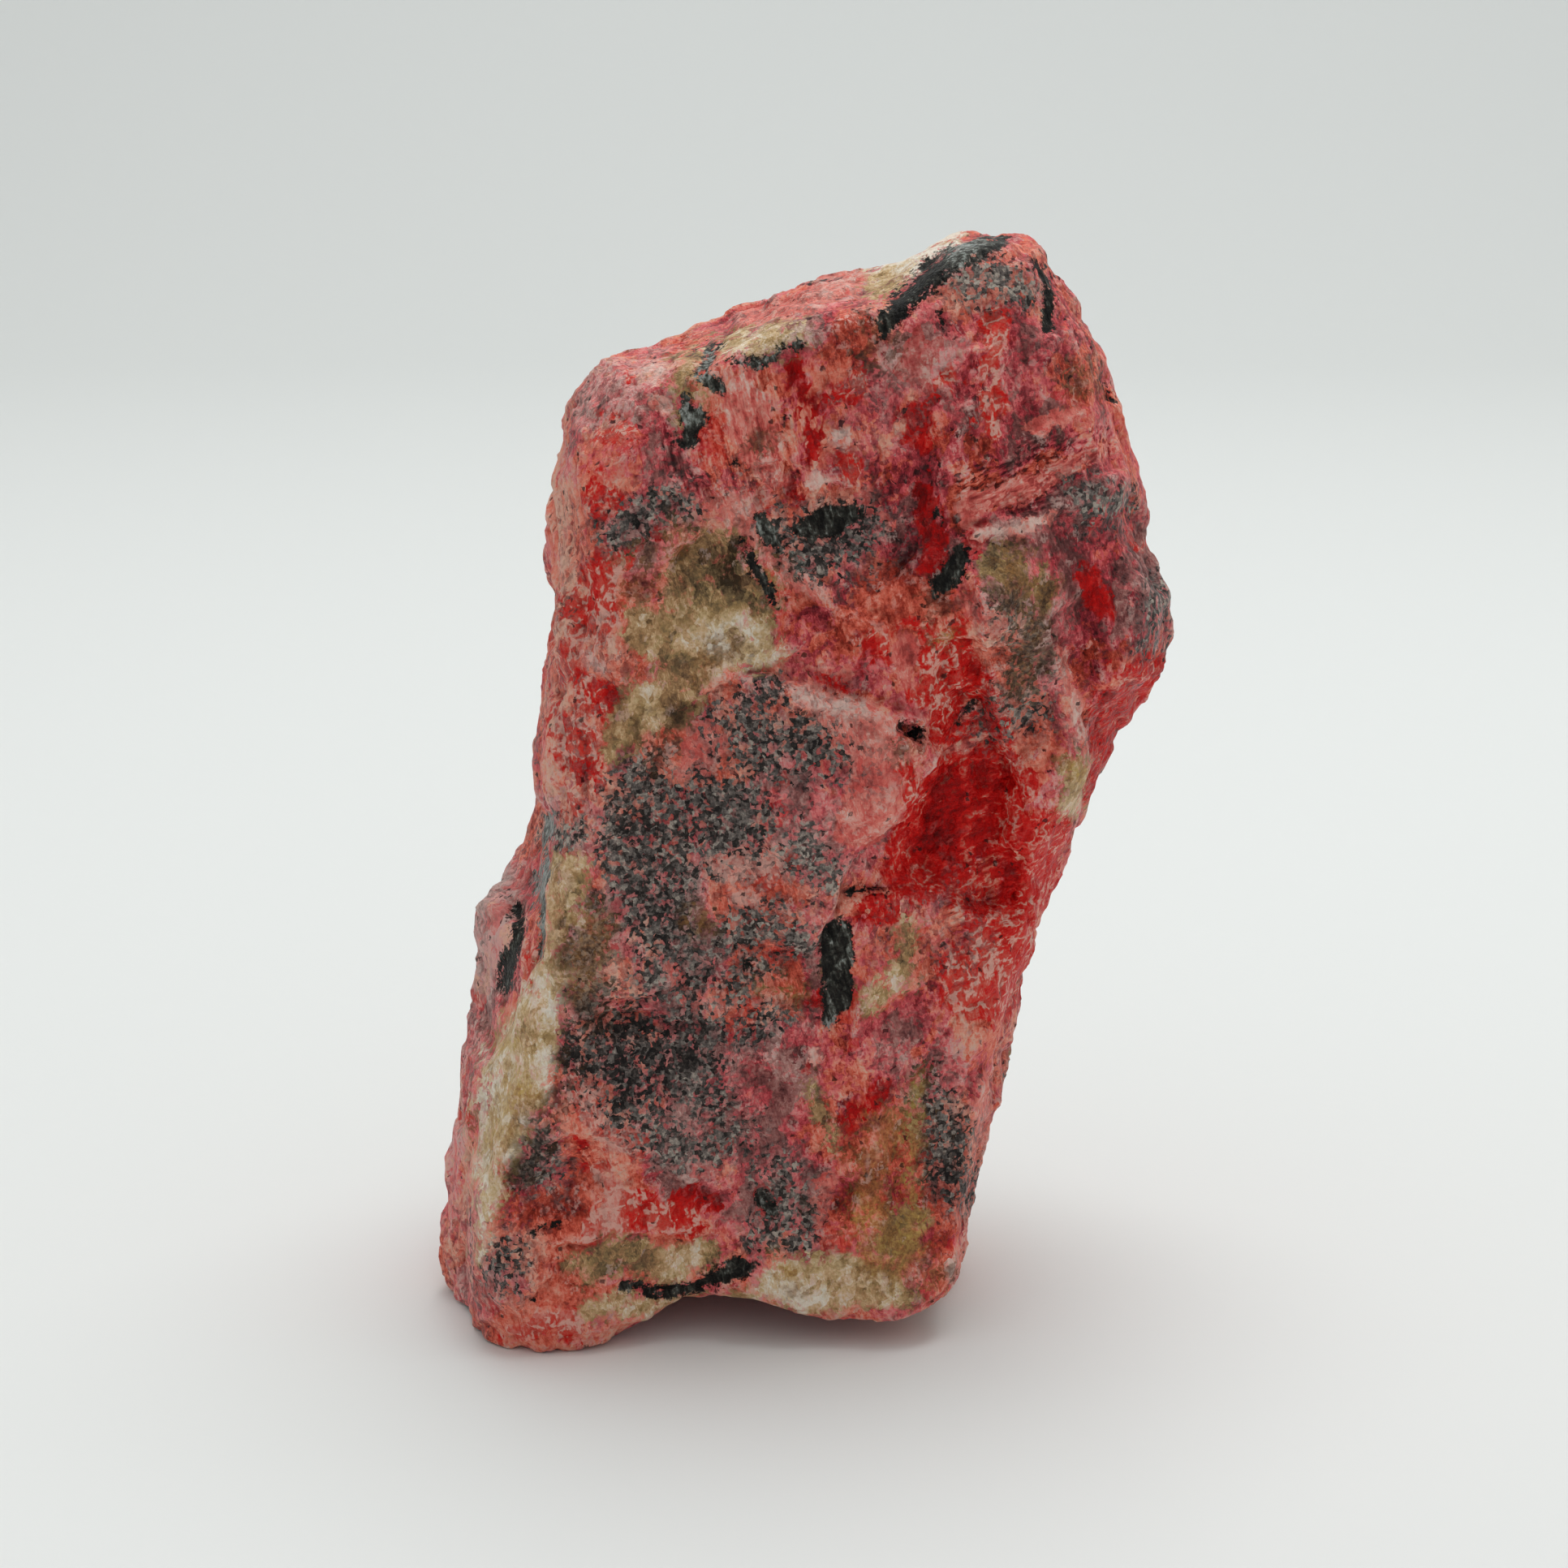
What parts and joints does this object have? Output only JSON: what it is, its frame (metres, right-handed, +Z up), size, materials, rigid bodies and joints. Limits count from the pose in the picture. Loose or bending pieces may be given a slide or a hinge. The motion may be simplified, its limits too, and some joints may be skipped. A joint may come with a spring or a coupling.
{
  "type": "rhodonite specimen",
  "caption": "Rough upright block of rose-pink rhodonite with cream quartz, grey speckled patches and black oxide blades, resting on its broken foot.",
  "frame": {"origin": "centre of the bounding box, on the surface it stands on", "axes": "+Z up along the tall axis of the stone, -Y towards the front face, +X to the right seen from the front"},
  "size_m": [0.0532, 0.0366, 0.0776],
  "materials": {
    "rhodonite": "rough broken stone with a slight gloss on its cleavage faces"
  },
  "bodies": {
    "root": {"rhodonite_specimen": "rhodonite"}
  },
  "joints": []
}
